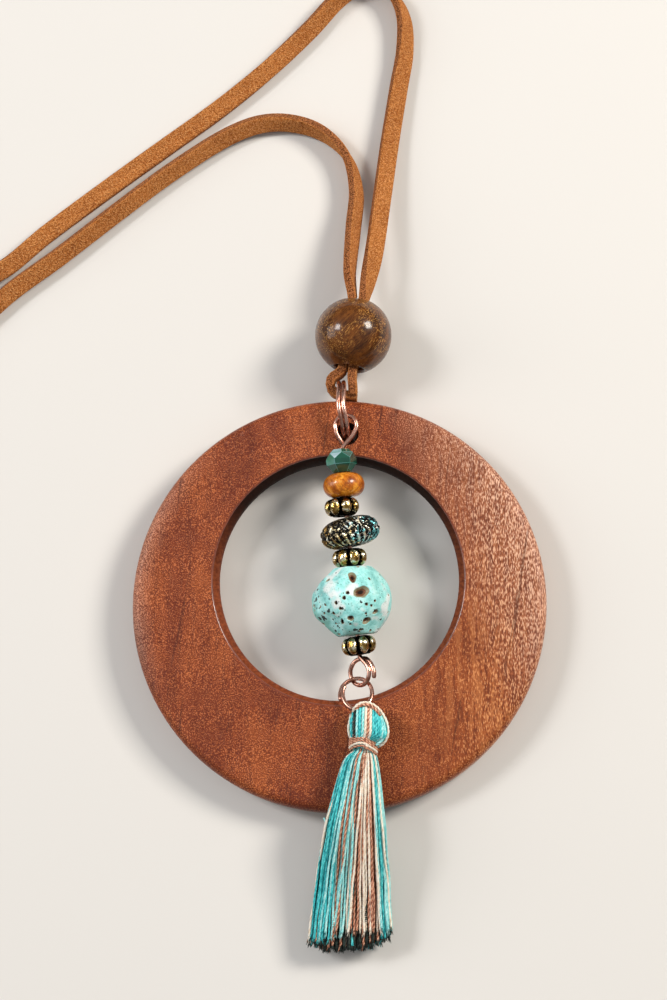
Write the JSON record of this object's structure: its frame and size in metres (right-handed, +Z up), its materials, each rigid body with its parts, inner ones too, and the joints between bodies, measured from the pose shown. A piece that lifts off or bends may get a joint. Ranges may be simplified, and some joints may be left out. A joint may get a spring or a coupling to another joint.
{
  "type": "tassel necklace",
  "caption": "Long suede lace necklace lying flat, with a slide bead and a drilled wooden ring that frames a beaded eye pin and a thread tassel.",
  "frame": {"origin": "on the surface the necklace lies on, under the middle of the box of the pendant with its slide bead and tassel, the lace left out", "axes": "+X to the wearer's left as the front is seen, +Y from the tassel to the slide bead, +Z up from the surface and out of the pendant's front"},
  "size_m": [0.1842, 0.1594, 0.0126],
  "materials": {
    "suede": "napped",
    "dark_wood": "lacquered",
    "ring_wood": "stained, satin",
    "amber_wood": "polished",
    "copper": "plated, polished",
    "antique_brass": "antiqued",
    "green_glass": "polished",
    "patina": "dark patina with gold and teal flecks",
    "lava_stone": "dyed, pitted",
    "thread": "twisted thread"
  },
  "bodies": {
    "root": {"neck_lace": "suede", "slide_bead": "dark_wood", "pendant_ring": "ring_wood", "hanging_coil": "copper", "eye_pin": "copper", "green_bead": "green_glass", "amber_bead": "amber_wood", "spacer_1": "antique_brass", "spacer_2": "antique_brass", "spacer_3": "antique_brass", "patina_bead": "patina", "lava_bead": "lava_stone", "tassel_jump_ring": "copper", "tassel": "thread", "tassel_binding": "thread"}
  },
  "joints": []
}
